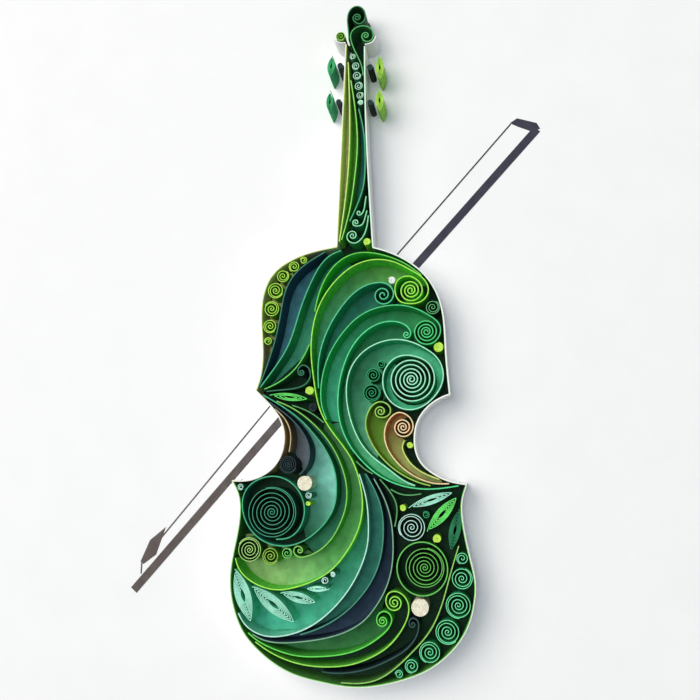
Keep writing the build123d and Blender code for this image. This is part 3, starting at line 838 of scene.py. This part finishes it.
for level, (name, (side_a, side_b, colour_near, colour_far)) in enumerate(FLOORS.items()):
    floor_paper(name, side_a, side_b, colour_near, colour_far, level)

# A hem of the floor's paper covers the glue line along the walls
floor_card_paper = paper("floor_card_paper", (14, 56, 30))
hem = Piece("floor_hem", None, "dark_green_card", [floor_card_paper])
for line in card_lines:
    start = len(hem.points)
    for place, side in zip(line, left_of(line)):
        for reach in HEM_EDGES:
            x, y = place + side * reach
            hem.points.append((x * MM, y * MM, (floor_top + HEM_HEIGHT) * MM))
    for index in range(start, start + 2 * len(line) - 2, 2):
        hem.faces.append((index, index + 2, index + 3, index + 1))
        hem.looks.append(0)
hem.place()

# Nodes that keep their own shape
for node, material in (
    ("backing_sheet", sheet_paper("drawing_paper", (247, 247, 247))),
    ("floor_card", floor_card_paper),
    ("drawn_bow", ink_and_painted_light_paper("ink", (-50, -60), (30, 36), (102, 93, 90), (66, 66, 80))),
):
    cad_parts[node].data.materials.clear()
    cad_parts[node].data.materials.append(material)

# Stage, light and camera
STAGE_TOP_M = -0.0002  # just under the sheet
bpy.ops.mesh.primitive_plane_add(size=4, location=(0, 0, STAGE_TOP_M))
floor = bpy.context.object
floor.name = "stage_floor"
floor.data.materials.append(sheet_paper("stage_paint", (226, 226, 226)))

world = bpy.context.scene.world or bpy.data.worlds.new("world")
bpy.context.scene.world = world
world.use_nodes = True
nodes, links = world.node_tree.nodes, world.node_tree.links
sky = nodes["Background"]
sky.inputs["Color"].default_value = (0.8, 0.9, 1.0, 1)
sky.inputs["Strength"].default_value = 0.21
white_sky = nodes.new("ShaderNodeBackground")
white_sky.inputs["Color"].default_value = (1, 1, 1, 1)
path = nodes.new("ShaderNodeLightPath")
mix = nodes.new("ShaderNodeMixShader")
links.new(path.outputs["Is Camera Ray"], mix.inputs["Fac"])
links.new(sky.outputs["Background"], mix.inputs[1])
links.new(white_sky.outputs["Background"], mix.inputs[2])
links.new(mix.outputs["Shader"], nodes["World Output"].inputs["Surface"])


LAMP_TARGET_M = (0, 0, 0.005)


def lamp(name, place_m, size_m, power, colour):
    """A square lamp that looks at the violin."""
    data = bpy.data.lights.new(name, "AREA")
    data.energy = power
    data.size = size_m
    data.color = colour
    light = bpy.data.objects.new(name, data)
    light.location = place_m
    look = Vector(LAMP_TARGET_M) - Vector(place_m)
    light.rotation_euler = look.to_track_quat("-Z", "Y").to_euler()
    bpy.context.scene.collection.objects.link(light)


lamp("window", (-1.85, 1.126, 2.49), size_m=3.0, power=114, colour=(1.0, 0.955, 0.9))
lamp("ceiling", (-0.02, 0.02, 1.6), size_m=0.5, power=6.0, colour=(0.87, 0.95, 1.0))

PHOTO_WIDTH = 700  # pixels
FOCAL_LENGTH = 825  # pixels
CAMERA_PLACE = (41.762, -47.226, 290.43)
CAMERA_RIGHT = (0.98803, 0.003356, -0.15420)
CAMERA_UP = (0.017925, 0.99049, 0.13641)
CAMERA_BACK = (0.153187, -0.137544, 0.97858)
camera_data = bpy.data.cameras.new("camera")
camera_data.sensor_width = 36
camera_data.lens = camera_data.sensor_width * FOCAL_LENGTH / PHOTO_WIDTH
camera = bpy.data.objects.new("camera", camera_data)
turn = Matrix((CAMERA_RIGHT, CAMERA_UP, CAMERA_BACK)).transposed()
camera.matrix_world = Matrix.Translation(Vector(CAMERA_PLACE) * MM) @ turn.to_4x4()
camera_data.clip_start = 0.01
bpy.context.scene.collection.objects.link(camera)
bpy.context.scene.camera = camera
bpy.context.scene.view_settings.view_transform = "Standard"
